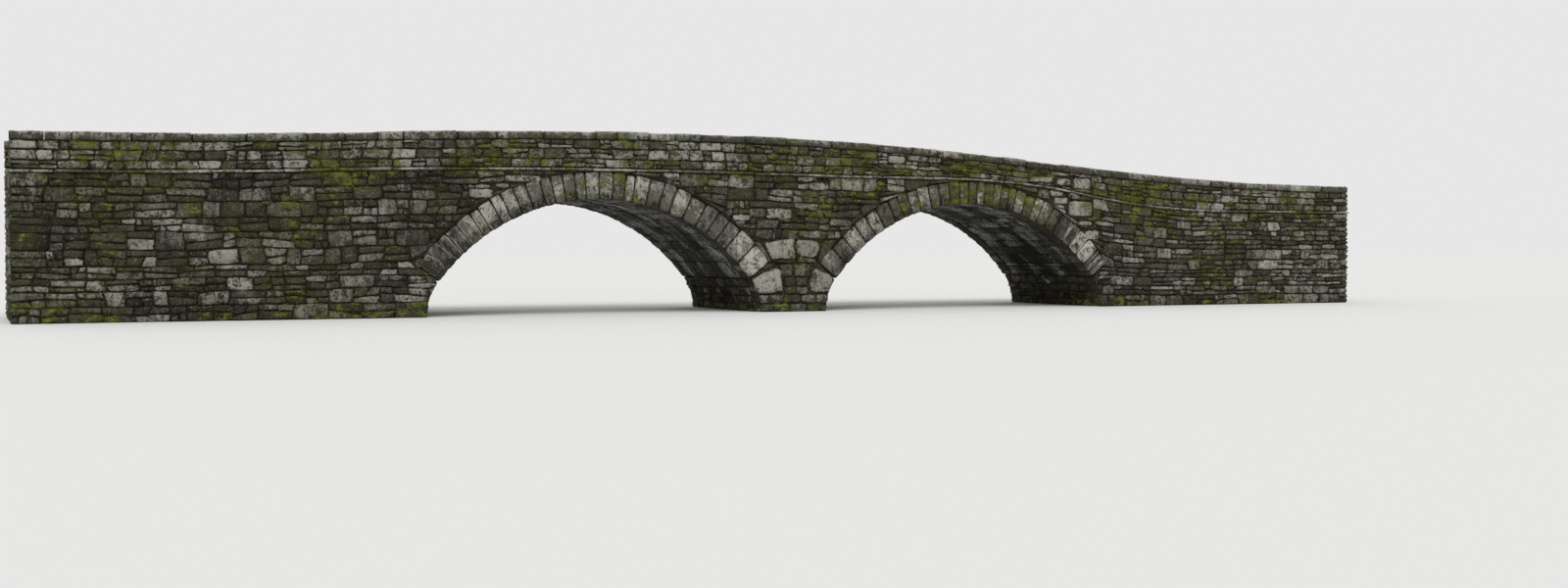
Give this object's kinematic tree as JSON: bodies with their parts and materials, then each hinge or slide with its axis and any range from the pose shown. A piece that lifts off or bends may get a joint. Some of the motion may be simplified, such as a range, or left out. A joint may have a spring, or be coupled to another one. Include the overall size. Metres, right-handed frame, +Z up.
{
  "type": "stone arch bridge",
  "caption": "Old granite road bridge with segmental arches on a low pier, rubble spandrel walls, a string course and humped parapets under stone coping.",
  "frame": {"origin": "at the water line, under the middle of the pier, which is the middle of the whole bridge", "axes": "+X along the road towards the lower right end, +Y from the front face to the back face, +Z up"},
  "size_m": [35, 4.52, 4.27],
  "materials": {
    "ring_granite": "rough dressed granite, dark weather stains",
    "vault_stone": "rough dressed stone, damp and dark",
    "pier_stone": "rough granite blocks, damp at the foot",
    "wall_rubble": "coursed rubble with deep joints",
    "string_stone": "rough thin slabs with moss",
    "parapet_rubble": "random rubble with moss",
    "coping_stone": "rough dressed slabs, pale on top",
    "rubble_filling": "packed rubble and earth",
    "road_surface": "worn packed gravel"
  },
  "bodies": {
    "root": {"back_approach_wall_left": "wall_rubble", "back_approach_wall_right": "wall_rubble", "back_coping_left": "coping_stone", "back_coping_middle": "coping_stone", "back_coping_right": "coping_stone", "back_parapet_left": "parapet_rubble", "back_parapet_middle": "parapet_rubble", "back_parapet_right": "parapet_rubble", "back_spandrel_left": "wall_rubble", "back_spandrel_middle": "wall_rubble", "back_spandrel_right": "wall_rubble", "back_string_course": "string_stone", "filling_left": "rubble_filling", "filling_middle": "rubble_filling", "filling_right": "rubble_filling", "front_approach_wall_left": "wall_rubble", "front_approach_wall_right": "wall_rubble", "front_coping_left": "coping_stone", "front_coping_middle": "coping_stone", "front_coping_right": "coping_stone", "front_parapet_left": "parapet_rubble", "front_parapet_middle": "parapet_rubble", "front_parapet_right": "parapet_rubble", "front_spandrel_left": "wall_rubble", "front_spandrel_middle": "wall_rubble", "front_spandrel_right": "wall_rubble", "front_string_course": "string_stone", "left_abutment": "pier_stone", "left_arch_ring_back_left_half": "ring_granite", "left_arch_ring_back_right_half": "ring_granite", "left_arch_ring_front_left_half": "ring_granite", "left_arch_ring_front_right_half": "ring_granite", "left_vault": "vault_stone", "pier": "pier_stone", "right_abutment": "pier_stone", "right_arch_ring_back_left_half": "ring_granite", "right_arch_ring_back_right_half": "ring_granite", "right_arch_ring_front_left_half": "ring_granite", "right_arch_ring_front_right_half": "ring_granite", "right_vault": "vault_stone", "road_bed": "road_surface"}
  },
  "joints": []
}
